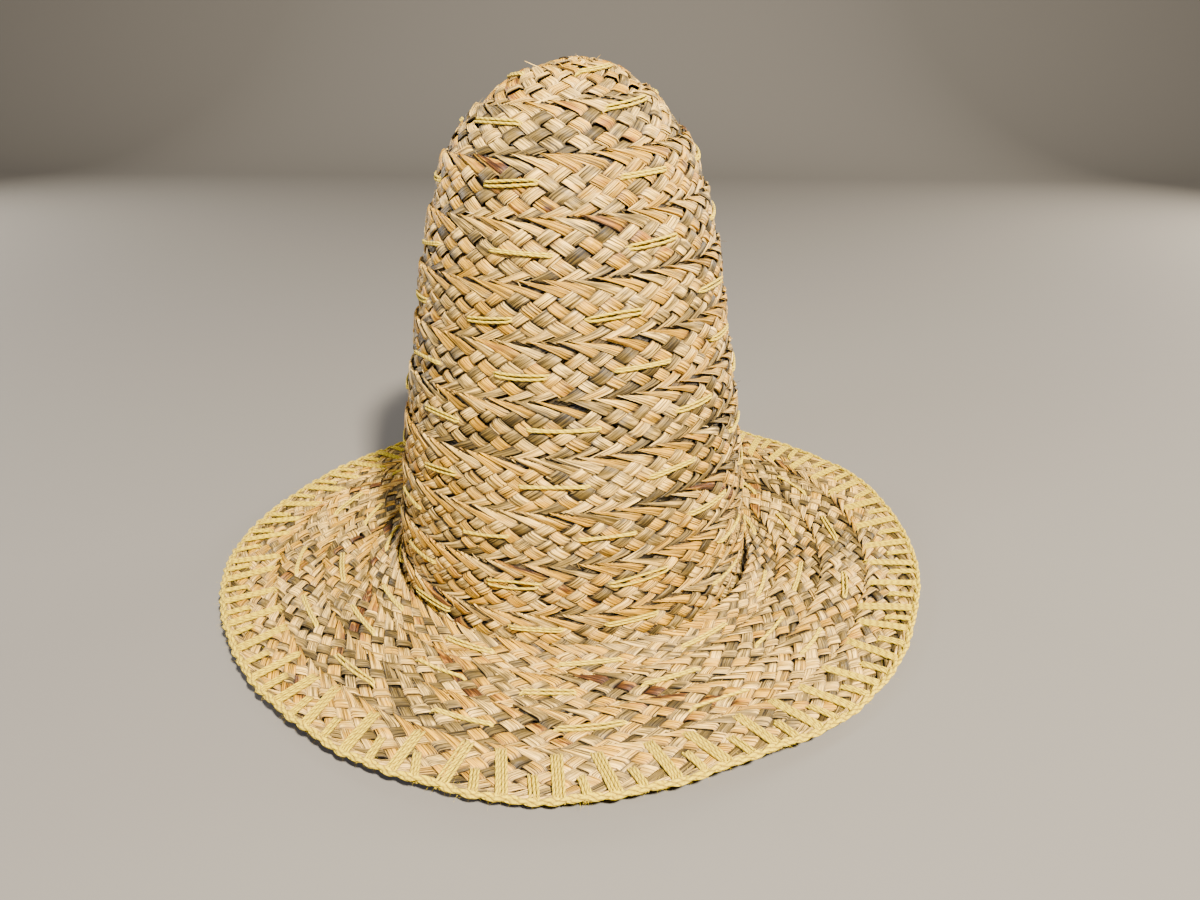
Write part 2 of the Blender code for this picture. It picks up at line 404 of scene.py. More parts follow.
def yarn_material(name, stops, chosen):
    """Two-ply spun yarn: matt and slightly fuzzy, with painted shade in the groove between its plies and
    on its flanks.
    """
    made, tree, shader = new_material(
        name, Roughness=0.9, IOR=1.5, Specular_IOR_Level=0.12, Sheen_Weight=0.05, Sheen_Roughness=0.6
    )
    add = partial(add_node, tree)
    grain = add("Attribute", attribute_name="grain").outputs["Vector"]
    parts = add("SeparateXYZ", [("Vector", grain)]).outputs
    # The two plies make one full turn in YARN_TWIST millimetres.
    along = add("Math", [(0, parts["X"]), (1, YARN_TWIST)], operation="DIVIDE")
    turns = add("Math", [(0, along), (1, parts["Y"])], operation="ADD")
    angle = add("Math", [(0, turns), (1, TAU)], operation="MULTIPLY")
    wave = add("Math", [(0, angle)], operation="SINE")
    folded = add("Math", [(0, wave)], operation="ABSOLUTE")
    plies = add("Math", [(0, folded), (1, 0.6)], operation="POWER")
    # Spun fibres show about 0.5 mm apart.
    fine = add("Mapping", [("Vector", grain)], Scale=(1.2, 6.0, 1.0))
    fibres = add("TexNoise", [("Vector", fine)], Scale=1.0, Detail=3.0, Roughness=0.65)
    height = add("Math", [(0, plies), (1, fibres)], operation="MULTIPLY")
    # The colour darkens with the height: painted shade in the groove between the plies, and the spun
    # fibres' own variation.
    colour = add("ValToRGB", [("Fac", height)])
    set_stops(colour.color_ramp.elements, stops, chosen)
    # Painted shade: the flanks of a yarn and its ends in the straw are darker than its top.
    depth = add("Attribute", attribute_name="depth").outputs["Fac"]
    value = add("MapRange", [("Value", depth)], To_Min=1.05, To_Max=0.2)
    shaded = add("HueSaturation", [("Color", colour), ("Value", value)])
    link(tree, shaded, shader.inputs["Base Color"])
    bump = add("Bump", [("Height", height)], Strength=1.0, Distance=0.0006)
    link(tree, bump, shader.inputs["Normal"])
    return made


def stage_material(name, colour):
    """Matt painted board under and behind the hat, with the faint mottle of a rolled coat."""
    made, tree, shader = new_material(name, IOR=1.45, Specular_IOR_Level=0.2)
    add = partial(add_node, tree)
    place = add("TexCoord").outputs["Object"]
    mottle = add("TexNoise", [("Vector", place)], Scale=60.0, Detail=2.0)
    rough = add("MapRange", [("Value", mottle)], To_Min=0.82, To_Max=0.88)
    shader.inputs["Base Color"].default_value = linear(colour)
    link(tree, rough, shader.inputs["Roughness"])
    return made


# Meshes from arrays

# Painted shade runs from 0, no shade, to 1, the darkest; the materials darken the colour by it.
Part = namedtuple("Part", "points grain tone depth quads")
SHARP_ANGLE = math.radians(50.0)


def join(parts):
    """One part from several."""
    starts = np.cumsum([0] + [len(part.points) for part in parts[:-1]])
    moved = [part._replace(quads=part.quads + start) for part, start in zip(parts, starts)]
    return Part(*[np.concatenate(column) for column in zip(*moved)])


def faced_out(part):
    """The part with its closed surfaces facing outwards."""
    first, second, third, fourth = (part.points[part.quads[:, corner]] for corner in range(4))
    volume = (np.cross(first, second) * third + np.cross(first, third) * fourth).sum()
    return part if volume > 0.0 else part._replace(quads=part.quads[:, ::-1])


def add_piece(name, part, material):
    """Make one object of a part's points, in millimetres, and its four-cornered faces."""
    mesh = bpy.data.meshes.new(name)
    mesh.vertices.add(len(part.points))
    mesh.vertices.foreach_set("co", (part.points * MM).astype(np.float32).ravel())
    mesh.loops.add(part.quads.size)
    mesh.loops.foreach_set("vertex_index", part.quads.astype(np.int32).ravel())
    mesh.polygons.add(len(part.quads))
    mesh.polygons.foreach_set("loop_start", np.arange(0, part.quads.size, 4, dtype=np.int32))
    mesh.update(calc_edges=True)
    mesh.validate()
    mesh.shade_smooth()
    mesh.set_sharp_from_angle(angle=SHARP_ANGLE)
    grain = mesh.attributes.new("grain", "FLOAT_VECTOR", "POINT")
    grain.data.foreach_set("vector", part.grain.astype(np.float32).ravel())
    for label, column in (("tone", part.tone), ("depth", part.depth)):
        attribute = mesh.attributes.new(label, "FLOAT", "POINT")
        attribute.data.foreach_set("value", column.astype(np.float32).ravel())
    mesh.materials.append(material)
    item = bpy.data.objects.new(name, mesh)
    bpy.context.scene.collection.objects.link(item)
    return item


def tube_quads(count, stations, sides):
    """Faces of closed tubes of stations rings with an even number of sides, with capped ends."""
    ring = np.arange(sides)
    after = (ring + 1) % sides
    start = np.arange(stations - 1)[:, None] * sides
    wall = np.stack([start + ring, start + after, start + sides + after, start + sides + ring], -1)
    last = (stations - 1) * sides
    fans = [(0, step, step + 1, step + 2) for step in range(1, sides - 2, 2)]
    caps = [fan[::-1] for fan in fans] + [tuple(last + corner for corner in fan) for fan in fans]
    pattern = np.concatenate([wall.reshape(-1, 4), np.array(caps)])
    offsets = np.arange(count)[:, None, None] * stations * sides
    return (pattern[None] + offsets).reshape(-1, 4)


def flat_quads(count, stations):
    """Faces of flat slivers that are two points wide."""
    start = np.arange(stations - 1)[:, None] * 2
    pattern = start + np.array([[0, 1, 3, 2]])
    offsets = np.arange(count)[:, None, None] * stations * 2
    return (pattern[None] + offsets).reshape(-1, 4)


def unit(vectors):
    """Vectors of length one."""
    return vectors / np.maximum(np.linalg.norm(vectors, axis=-1, keepdims=True), 1e-9)


def yarn_tubes(paths, normals, radius, keys):
    """Round yarns along paths. The grain counts millimetres along and turns around."""
    count, stations = paths.shape[:2]
    along = unit(np.gradient(paths, axis=1))
    side = unit(np.cross(along, normals))
    up = np.cross(side, along)
    turns = np.arange(YARN_SIDES) / YARN_SIDES
    angle = TAU * turns - 0.5 * math.pi
    ring = side[:, :, None] * np.cos(angle)[:, None] + up[:, :, None] * np.sin(angle)[:, None]
    points = paths[:, :, None] + radius * ring
    steps = np.linalg.norm(np.diff(paths, axis=1), axis=-1)
    length = np.concatenate([np.zeros((count, 1)), np.cumsum(steps, axis=1)], 1)
    grain = np.stack(np.broadcast_arrays(length[:, :, None], turns, keys[:, None, None]), -1)
    quads = tube_quads(count, stations, YARN_SIDES)
    # Painted shade: the flanks and underside of each yarn are darker than its top.
    depth = np.broadcast_to(0.5 - 0.5 * np.sin(angle), points.shape[:-1]) ** 0.8
    tone = np.zeros(depth.size)
    return faced_out(Part(points.reshape(-1, 3), grain.reshape(-1, 3), tone, depth.ravel(), quads))


# The hat's surfaces


def spline(before, start, end, after, share):
    """Catmull-Rom value between start and end."""
    a = 2.0 * start
    b = end - before
    c = 2.0 * before - 5.0 * start + 4.0 * end - after
    d = 3.0 * start - before - 3.0 * end + after
    return 0.5 * (a + b * share + c * share**2 + d * share**3)


class CrownOutline:
    """The crown's outer outline, read by the distance along it from the tip."""

    def __init__(self, sections):
        # The curve is mirrored past the tip and runs straight on past its end.
        rows = np.array([section[1:] for section in sections])
        first = rows[1] * (-1.0, 1.0, 1.0)
        last = 2.0 * rows[-1] - rows[-2]
        rows = np.vstack([first, rows, last])
        shares = np.arange(OUTLINE_STEPS)[:, None] / OUTLINE_STEPS
        parts = [spline(*rows[index - 1 : index + 3], shares) for index in range(1, len(rows) - 2)]
        self.points = np.vstack([*parts, rows[-2]])
        steps = np.diff(self.points[:, :2], axis=0)
        self.distance = np.concatenate([[0.0], np.cumsum(np.hypot(*steps.T))])
        along = unit(np.gradient(self.points[:, :2], self.distance, axis=0))
        self.normal = np.stack([-along[:, 1], along[:, 0]], 1)

    def read(self, distance):
        """Radius, height, lean and the two parts of the outward normal."""
        columns = (*self.points.T, *self.normal.T)
        return [np.interp(distance, self.distance, column) for column in columns]

    def place(self, azimuth, distance, out):
        """Points of the crown, moved out from the outline."""
        radius, height, lean, out_radial, out_up = self.read(distance)
        radius = radius + out_radial * out
        across = lean + radius * np.sin(azimuth)
        return np.stack([across, -radius * np.cos(azimuth), height + out_up * out], -1)


class BrimSurface:
    """The middle of the brim's wall, read by azimuth and by the share from lip to edge."""

    def __init__(self):
        ring = np.array([vertex.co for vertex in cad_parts["edge_binding"].data.vertices]) / MM
        azimuth = np.arctan2(ring[:, 0], -ring[:, 1])
        self.azimuth = np.unique(np.round(azimuth, 3))
        near = [np.abs(azimuth - station) < 0.01 for station in self.azimuth]
        self.radius = np.array([np.hypot(*ring[chosen, :2].T).mean() for chosen in near])
        self.height = np.array([ring[chosen, 2].mean() for chosen in near])
        self.mean_height = self.height.mean()
        self.span = self.radius.mean() - LIP_RADIUS

    def edge(self, azimuth):
        """Radius and height of the edge line."""
        columns = (self.radius, self.height)
        return [np.interp(azimuth, self.azimuth, column, period=TAU) for column in columns]

    def middle(self, azimuth, share):
        """Radius and height of the middle of the wall."""
        edge_radius, edge_height = self.edge(azimuth)
        shares = [section.share for section in BRIM_SECTIONS]
        heights = [section.height for section in BRIM_SECTIONS]
        wave = (edge_height - self.mean_height) * np.clip(share, 0.0, None) ** WAVE_POWER
        radius = LIP_RADIUS + (edge_radius - LIP_RADIUS) * share
        return radius, np.interp(share, shares, heights) + wave

    def place(self, azimuth, share, out):
        """Points of the brim, moved up from the middle of its wall."""
        radius, height = self.middle(azimuth, share)
        centre = np.clip(share, SLOPE_REACH, 1.0 - SLOPE_REACH)
        low_radius, low_height = self.middle(azimuth, centre - SLOPE_REACH)
        high_radius, high_height = self.middle(azimuth, centre + SLOPE_REACH)
        run = high_radius - low_radius
        rise = high_height - low_height
        length = np.hypot(run, rise)
        radius = radius - rise / length * out
        height = height + run / length * out
        return np.stack([radius * np.sin(azimuth), -radius * np.cos(azimuth), height], -1)


OUTLINE = CrownOutline(CROWN_SECTIONS)
BRIM = BrimSurface()


class Row:
    """A row of plait. Places are counted along it in lattice steps, and across it in millimetres."""

    def points(self, place, across, out):
        """Points in space, moved out from the middle of the plait."""
        return self.surface(self.angle(place), across, out)

    def lay(self, place, across, out):
        """Points in space and the directions out of the plait there."""
        place, across, out = np.broadcast_arrays(place, across, out)
        points = self.points(place, across, out)
        return points, unit(self.points(place, across, out + 0.5) - points)

    def middle_out(self, across):
        """Height of the plait's middle layer: its inner edge stands out, and its middle bulges."""
        share = 2.0 * across / self.width - 1.0
        return self.weave.bulge * (1.0 - share**2) - self.weave.step_out * share


class CrownCoil(Row):
    """The coiled row of the crown, from the mouth up to the tip."""

    width = ROW_PITCH + SEAM_LAP
    weave = CROWN_WEAVE

    def __init__(self):
        self.angles = np.arange(COIL_START, COIL_END, 0.01)
        widest = np.maximum(self.seam(self.angles) + 0.65 * ROW_PITCH, 0.0)
        radius = np.maximum(OUTLINE.read(widest)[0], LEAST_COIL_RADIUS)
        lengths = np.cumsum(radius[:-1] * np.diff(self.angles))
        self.steps = np.concatenate([[0.0], lengths]) / self.weave.step
        self.count = int(self.steps[-1])

    @staticmethod
    def seam(angle):
        """Distance of the upper seam from the tip."""
        return FRONT_SEAM - ROW_PITCH * angle / TAU

    def angle(self, place):
        """Azimuth, counted on round the coil, of a lattice place."""
        return np.interp(place, self.steps, self.angles)

    def place_at(self, angle):
        """Lattice place of an azimuth that is counted on round the coil."""
        return np.interp(angle, self.angles, self.steps)

    def distance(self, angle, across):
        """Distance from the tip."""
        return self.seam(angle) - 0.5 * SEAM_LAP + across

    def surface(self, angle, across, out):
        """Points in space by azimuth, with what lies under the brim pressed flat."""
        points = OUTLINE.place(angle, self.distance(angle, across), out - CROWN_WALL_MIDDLE)
        low = np.minimum(points[..., 2], PRESSED_HEIGHT) - PRESSED_HEIGHT
        points[..., 2] += PRESSED_HEIGHT * (np.exp(low / PRESSED_HEIGHT) - 1.0) - low
        return points

    def clip(self, place, across):
        """Where a strip's line stays on the crown."""
        distance = self.distance(self.angle(place), across)
        return (distance > COIL_CLIP[0]) & (distance < COIL_CLIP[1])


class BrimRow(Row):
    """One closed row of the brim, between two seams."""

    weave = BRIM_WEAVE

    def __init__(self, number):
        inner, outer = BRIM_SEAMS[number : number + 2]
        lap = 0.5 * SEAM_LAP / BRIM.span
        self.inner = inner - (lap if number > 0 else 0.0)
        self.outer = outer + (lap if number < len(BRIM_SEAMS) - 2 else 0.0)
        self.width = (self.outer - self.inner) * BRIM.span
        self.radius = LIP_RADIUS + 0.5 * (inner + outer) * BRIM.span
        self.count = round(TAU * self.radius / self.weave.step)

    def angle(self, place):
        """Azimuth of a lattice place."""
        return TAU * place / self.count - math.pi

    def surface(self, angle, across, out):
        """Points in space by azimuth."""
        share = self.inner + (self.outer - self.inner) * across / self.width
        return BRIM.place(angle, np.clip(share, 0.0, 1.0), out)

    def clip(self, place, across):
        """A brim strip is never cut short."""
        return np.ones(across.shape, bool)


def brim_rows():
    """The brim's rows, from the crown outwards."""
    return [BrimRow(number) for number in range(len(BRIM_SEAMS) - 1)]


# The weave

Strips = namedtuple(
    "Strips", "side index low high cover shift tilt height wobble sweep phase ridges tone key"
)


def straw_tones(random, count, pale_share):
    """Tones of many straws: mostly pale or khaki, some orange, a few brown."""
    draw = random.random(count)
    tone = np.zeros(count)
    for kind in STRAW_KINDS:
        start = pale_share if kind.start is None else kind.start
        tone = np.where(draw >= start, random.normal(kind.tone, kind.spread, count), tone)
    return tone


def draw_strips(row, start, stop, random):
    """Choose every strip of a stretch of plait: its place, width, lie and tone."""
    level = row.width / FOLD_LEVEL
    places = np.arange(start, stop)
    side = np.repeat([1.0, -1.0], len(places))
    index = np.tile(places, 2).astype(float)
    index[side < 0] += FOLD_LEVEL // 2
    across = np.linspace(0.0, row.width, CLIP_STATIONS)
    line = index[:, None] + side[:, None] * across / (2.0 * level)
    kept = row.clip(line, np.broadcast_to(across, line.shape))
    low = across[kept.argmax(1)]
    high = across[len(across) - 1 - kept[:, ::-1].argmax(1)]
    good = kept.any(1) & (high - low > LEAST_STRIP)
    side, index, low, high = side[good], index[good], low[good], high[good]
    count = len(side)
    # One straw in seven is followed through its folds, and is pieced every second crossing.
    straw = np.where(side > 0, index, index - FOLD_LEVEL).astype(int)
    member = straw % FOLD_LEVEL
    family = member * STRAW_STRIDE + (straw // FOLD_LEVEL + member * 3) // 2
    tone = straw_tones(random, STRAW_COUNT, row.weave.pale_share)[family % STRAW_COUNT]
    # Brown shows on one leg of a straw only.
    tone = np.where((side < 0) & (tone < BROWN_TONE), ORANGE_TONE, tone)
    # A fold turns the straw over, and its inner face is duller.
    tone = np.clip(tone + random.normal(0.0, 0.06, count) - FACE_TONE * side, 0.0, 1.0)
    return Strips(
        side,
        index,
        low,
        high,
        cover=random.uniform(0.8, 1.12, count),
        shift=random.normal(0.0, 0.055, count),
        tilt=random.normal(0.0, 0.28, count),
        height=random.normal(0.0, 0.12, count),
        wobble=random.normal(0.0, 0.045, count),
        sweep=random.uniform(0.2, 0.55, count),
        phase=random.uniform(0.0, TAU, count),
        ridges=random.normal(0.0, 0.13, (count, len(STRIP_SECTION))),
        tone=tone,
        key=random.uniform(0.0, KEY_RANGE, count),
    )


def second_layer(strips, share, random):
    """The narrower straws that lie under a share of the strips and show beside them."""
    chosen = random.random(len(strips.side)) < share
    under = Strips(*[column[chosen] for column in strips])
    count = len(under.side)
    way = np.where(random.random(count) < 0.5, -1.0, 1.0)
    return under._replace(
        cover=under.cover * random.uniform(0.85, 1.0, count),
        shift=under.shift + way * random.uniform(0.1, 0.24, count),
        height=under.height - LINER_DROP,
        ridges=0.5 * under.ridges[:, : len(LINER_SECTION)],
        tone=np.clip(under.tone + random.normal(0.0, 0.1, count), 0.0, 1.0),
        key=under.key + LINER_KEY_SHIFT,
    )


def nearness(distance, reach):
    """One at no distance, falling to zero at the reach."""
    return np.clip(1.0 - distance / reach, 0.0, 1.0)


def strip_part(row, strips, section, half_cover, thickness):
    """Ribbons that run over and under each other along the strips' lines."""
    width = row.width
    level = width / FOLD_LEVEL
    inner = level * (np.arange(FOLD_LEVEL)[:, None] + BEND_STATIONS).ravel()[:-1]
    base = np.concatenate([FOLD_STATIONS, inner, width - np.array(FOLD_STATIONS[::-1])])
    whole = (strips.low <= 0.0) & (strips.high >= width - 1e-6)
    scaled = strips.low[:, None] + (strips.high - strips.low)[:, None] * base / width
    across = np.where(whole[:, None], base, scaled)[:, :, None]
    columns = (column[:, None, None] for column in strips[:-3])
    side, index, _, _, cover, shift, tilt, height, wobble, sweep, phase = columns
    lane, rise = np.array(section).T
    offset = half_cover * cover * lane + shift
    offset = offset + wobble * np.sin(TAU * across / WOBBLE_LENGTH + phase)
    # Away from the folds a strip bends along the lines of the strips that cross it.
    from_fold = np.minimum(base, width - base)[:, None] / level
    across = across - side * level * offset * np.clip((from_fold - 0.2) / 0.8, 0.0, 1.0)
    near_top = nearness(across, SWEEP_REACH)
    near_bottom = np.clip(1.0 - (width - 0.6 * SEAM_LAP - across) / SWEEP_REACH, 0.0, 1.2)
    # The ends that show are drawn out along the seam, so they make long points.
    offset = offset - sweep * row.weave.sweep * np.where(side > 0.0, near_top, near_bottom) ** 2
    crossing = np.clip(across / level + side * offset, 1.0, FOLD_LEVEL - 1.0)
    nearest = np.round(crossing)
    over = side * (2.0 * (nearest % 2) - 1.0)
    lift = over * (1.0 - np.abs(2.0 * (crossing - nearest)) ** BEND_POWER)
    top_bend = nearness(across, FOLD_BEND)
    bottom_bend = nearness(width - across, FOLD_BEND)
    fold = np.sqrt(1.0 - top_bend**2) * np.sqrt(1.0 - bottom_bend**2)
    out = (row.weave.lift * lift + height) * fold + row.middle_out(across)
    out = out + thickness * rise - STRIP_ARCH * lane**2 + tilt * lane + strips.ridges[:, None, :]
    slant = nearness(across, FOLD_SLANT) - nearness(width - across, FOLD_SLANT)
    across = across + (0.3 + 1.1 * lane) * slant
    place = index + side * across / (2.0 * level) + offset
    place, across, out = np.broadcast_arrays(place, across, out)
    points = row.points(place, across, out).reshape(-1, 3)
    along = side * across / math.sin(STRIP_ANGLE)
    beside = half_cover * lane * row.weave.step * math.sin(STRIP_ANGLE)
    grain = np.stack(np.broadcast_arrays(along, beside, strips.key[:, None, None]), -1)
    tone = np.repeat(strips.tone, len(base) * len(section))
    # Painted shade is darkest where a strip runs under, along its edges and under the next row, where
    # shade falls in the weave. What lies deep on one face of the plait lies uppermost on the other.
    face = np.where(rise < 0.0, -1.0, 1.0)
    lapped = nearness(width - across, SHADED_LAP) * (face > 0.0)
    edge = np.where(face > 0.0, 0.4, 0.7) * lane**8
    depth = 0.6 - 0.5 * face * lift + edge + 0.6 * lapped - 0.5 * np.abs(rise)
    depth = np.broadcast_to(np.clip(depth, 0.0, 1.0), out.shape).ravel()
    quads = tube_quads(len(strips.side), len(base), len(section))
    return faced_out(Part(points, grain.reshape(-1, 3), tone, depth, quads))


def weave_part(row, start, stop, random):
    """A stretch of plait, from one lattice place to another."""
    thickness = settings().strip_thickness / MM
    half = 0.5 * settings().strip_cover * row.weave.cover
    strips = draw_strips(row, start, stop, random)
    under = second_layer(strips, settings().doubled_share, random)
    top = strip_part(row, strips, STRIP_SECTION, half, thickness)
    liner = strip_part(row, under, LINER_SECTION, half, LINER_THICKNESS * thickness)
    return join([top, liner])


# Stitches


def plateau(share):
    """Zero at both ends of a stitch, one between them, with smooth shoulders."""
    near = np.clip(np.minimum(share, 1.0 - share) / STITCH_SHOULDER, 0.0, 1.0)
    return near * near * (3.0 - 2.0 * near)


def running_part(row, stitches, random):
    """Doubled yarns that show on top of a row and dive into it at both ends.

    Each stitch is its middle and half length in lattice steps, and its place across the row.
    """
    radius = 0.5 * settings().yarn_width / MM
    middle, half, across = (np.repeat(column, 2)[:, None] for column in np.array(stitches).T)
    count = len(middle)
    share = 0.5 - 0.5 * np.cos(math.pi * np.arange(STITCH_STATIONS) / (STITCH_STATIONS - 1))
    shape = plateau(share)
    apart = np.tile([-1.0, 1.0], count // 2)[:, None] * radius
    apart = apart * (0.1 + 0.9 * shape) * random.uniform(0.85, 1.35, count)[:, None]
    slant = np.repeat(random.normal(0.0, 0.8, count // 2), 2)[:, None]
    sag = random.normal(0.0, 0.5, count)[:, None] * share * (1.0 - share) * 4.0
    across = across + slant * (2.0 * share - 1.0) + apart + sag
    place = middle + half * (2.0 * share - 1.0)
    top = row.weave.lift + 0.5 * settings().strip_thickness / MM + 0.75 * radius
    out = row.middle_out(across) - STITCH_TUCK + (top + STITCH_TUCK) * shape
    paths, normals = row.lay(place, across, out)
    return yarn_tubes(paths, normals, radius, random.uniform(0.0, KEY_RANGE, count))


def crown_stitches(coil, random):
    """The stitches seen on the front, and others between them all round the coil."""
    step = coil.weave.step
    seen = []
    for stitch in CROWN_STITCHES:
        ends = coil.place_at(np.radians([stitch.start, stitch.end]) + stitch.turn * TAU)
        seen.append((ends.mean(), 0.5 * (ends[1] - ends[0]), stitch.across))
    half = 0.5 * settings().stitch_length / MM / step
    first = coil.place_at(COIL_START + 0.5)
    last = coil.place_at((FRONT_SEAM / ROW_PITCH - 0.6) * TAU)
    chain = sorted([(first, half, 8.0), *seen, (last, half, 8.0)])
    placed = []
    for before, after in zip(chain, chain[1:]):
        placed.append(before)
        gap = after[0] - before[0]
        extra = max(round(gap * step / STITCH_SPACING) - 1, 0)
        for number in range(1, extra + 1):
            share = number / (extra + 1)
            across = before[2] + (after[2] - before[2]) * share + random.normal(0.0, 0.8)
            size = half * random.uniform(0.85, 1.1)
            placed.append((before[0] + gap * share + random.normal(0.0, 0.2), size, across))
    return [*placed, chain[-1]]


def brim_stitches(row, random):
    """Evenly spaced stitches round one row of the brim."""
    step = row.weave.step
    count = round(TAU * row.radius / STITCH_SPACING)
    half = 0.5 * settings().stitch_length / MM / step
    gap = row.count / count
    start = random.uniform(0.0, gap)
    return [
        (
            start + number * gap + random.normal(0.0, 0.25),
            half * random.uniform(0.85, 1.1),
            0.5 * row.width + random.normal(0.0, 1.5),
        )
        for number in range(count)
    ]


def blanket_part(stitch, numbers, random):
    """Parallel yarns over the brim, round its edge and back underneath."""
    radius = 0.5 * settings().yarn_width / MM
    count = len(numbers)
    top = BRIM_WEAVE.lift + 0.5 * settings().strip_thickness / MM + 0.8 * radius
    # Share of the length in from the edge, and height, over the brim and back under it.
    over = [(1.0, -0.9), (0.985, 0.5), (0.94, top), (0.75, top + 0.1), (0.55, top + 0.1)]
    over += [(0.36, top + 0.2)]
    under = [(0.3, -1.9), (0.6, -1.7), (0.95, -1.5), (1.0, 0.0)]
    turns = np.radians(WRAP_TURNS)
    wrap = slice(len(over), len(over) + len(turns))
    inward, height = np.array(over + [(0.0, 0.0)] * len(turns) + under).T
    height[wrap] = WRAP_RADIUS * np.sin(turns)
    around = np.zeros(len(inward))
    around[wrap] = -WRAP_RADIUS * np.cos(turns)
    per_strand = partial(np.repeat, repeats=stitch.strands)
    lane = np.tile(np.arange(stitch.strands) - 0.5 * (stitch.strands - 1), count)
    lane = lane + random.normal(0.0, 0.08, len(lane))
    length = per_strand(stitch.length * random.normal(1.0, 0.05, count))
    length = length + random.normal(0.0, 0.5, len(lane))
    inward = length[:, None] * inward + around
    slant = per_strand(np.tan(BLANKET_SLANT + random.normal(0.0, SLANT_SPREAD, count)))
    spread = per_strand(random.uniform(0.92, 1.08, count))
    sideways = (BLANKET_GAP * radius * lane * spread)[:, None]
    sideways = sideways - slant[:, None] * np.clip(inward, 0.0, None)
    azimuth = TAU * (numbers + random.normal(0.0, 0.08, count)) / BLANKET_COUNT
    azimuth = per_strand(azimuth)[:, None]
    edge_radius = BRIM.edge(azimuth)[0]
    azimuth = azimuth + sideways / (edge_radius - inward)
    share = 1.0 - inward / (edge_radius - LIP_RADIUS)
    height = np.broadcast_to(height, share.shape)
    paths = BRIM.place(azimuth, share, height)
    normals = unit(BRIM.place(azimuth, share, height + 0.5) - paths)
    # Round the edge the normals turn outwards, so that no ring of points collapses.
    middle = BRIM.place(azimuth, np.minimum(share, 1.0), np.zeros(share.shape))
    normals[:, wrap] = unit(paths[:, wrap] - middle[:, wrap])
    normals[:, wrap.stop :] *= -1.0
    return yarn_tubes(paths, normals, radius, random.uniform(0.0, KEY_RANGE, len(paths)))


def edge_line(azimuth, radial_out, up):
    """Points and directions at a distance out of and above the brim's edge line."""
    radius, height = BRIM.edge(azimuth)
    radial = np.stack([np.sin(azimuth), -np.cos(azimuth), np.zeros_like(azimuth)], -1)
    vertical = np.array([0.0, 0.0, 1.0])
    points = (radius + radial_out)[..., None] * radial + (height + up)[..., None] * vertical
    return points, unit(radial_out[..., None] * radial + up[..., None] * vertical)


def rope_lie(azimuth):
    """How far out of and above the edge line the rope lies. It rides over each wrap."""
    distance = ROPE_PLACE + ROPE_RISE * (0.5 + 0.5 * np.cos(BLANKET_COUNT * azimuth))
    angle = ROPE_ANGLE + 0.2 * np.sin(17.0 * azimuth) + 0.15 * np.sin(41.0 * azimuth)
    return distance * np.cos(angle), distance * np.sin(angle)


def edge_strands(strands, lie):
    """Twisted strands that run round the brim beside its edge line, with closed paths."""
    azimuth = np.linspace(-math.pi, math.pi, strands.stations)[None]
    start = TAU * np.arange(strands.count)[:, None] / strands.count
    angle = start + strands.turns * azimuth + 0.4 * np.sin(13.0 * azimuth)
    radial_out, up = lie(azimuth)
    radial_out = radial_out + strands.circle * np.cos(angle)
    up = up + strands.circle * np.sin(angle)
    paths, away = edge_line(np.broadcast_to(azimuth, angle.shape), radial_out, up)
    keys = STRAND_KEY_STEP * np.arange(strands.count)
    made = yarn_tubes(paths, away, strands.radius, keys)
    # Twisted strands touch, so they hide less of their flanks in shade.
    return made._replace(depth=0.6 * made.depth)


def sliver_part(start, direction, bend, length, width, tone, random):
    """Thin flat slivers that leave their start along a direction and bend away."""
    share = np.linspace(0.0, 1.0, SLIVER_STATIONS)[None, :, None]
    length = length[:, None, None]
    line = start[:, None] + unit(direction)[:, None] * length * share
    line = line + bend[:, None] * length * share**2
    side = unit(np.cross(direction, bend + random.normal(0.0, 0.2, bend.shape)))[:, None]
    taper = width[:, None, None] * (1.0 - 0.7 * share)
    points = np.stack([line - side * taper, line + side * taper], 2).reshape(-1, 3)
    along = np.broadcast_to(length * share, (len(start), SLIVER_STATIONS, 1))
    key = np.broadcast_to(random.uniform(0.0, KEY_RANGE, len(start))[:, None, None], along.shape)
    grain = np.repeat(np.concatenate([along, 0.25 + 0.0 * along, key], -1)[:, :, None], 2, axis=2)
    quads = flat_quads(len(start), SLIVER_STATIONS)
    tone = np.repeat(tone, 2 * SLIVER_STATIONS)
    return Part(points, grain.reshape(-1, 3), tone, np.zeros(len(points)), quads)


def frayed_part(row, count, random):
    """Loose ends of straw along the edges of a row."""
    place = random.uniform(2.0, row.count - 2.0, count)
    draw = random.random(count)
    at_edge = random.uniform(0.0, 2.5, count)
    across = np.where(draw < FRAYED_EDGE_SHARE, at_edge, random.uniform(3.0, row.width - 1.0, count))
    out = row.middle_out(across) + random.uniform(0.2, 0.8, count)
    keep = row.clip(place, across)
    place, across, out = place[keep], across[keep], out[keep]
    count = len(place)
    start, normal = row.lay(place, across, out)
    forward = unit(row.points(place + 0.1, across, out) - start)
    down = unit(row.points(place, across + 0.5, out) - start)
    way = np.where(random.random(count) < 0.5, -1.0, 1.0)[:, None]
    fall = random.normal(0.6, 0.3, count)[:, None]
    lift = random.uniform(0.1, 0.5, count)[:, None]
    direction = way * forward * 0.83 + way * fall * down + lift * normal
    bend = random.normal(0.0, 0.25, (count, 3)) - 0.1 * normal
    length = random.uniform(2.0, 5.5, count)
    width = random.uniform(0.1, 0.3, count)
    return sliver_part(start, direction, bend, length, width, random.uniform(0.3, 0.75, count), random)


def dress(name, part, material, node=None):
    """Add a piece that rides with the hat and takes the given material; it may stand for a solid, which
    it hides.
    """
    piece = add_piece(name, part, material)
    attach(piece, "root")
    if node:
        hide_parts(node)


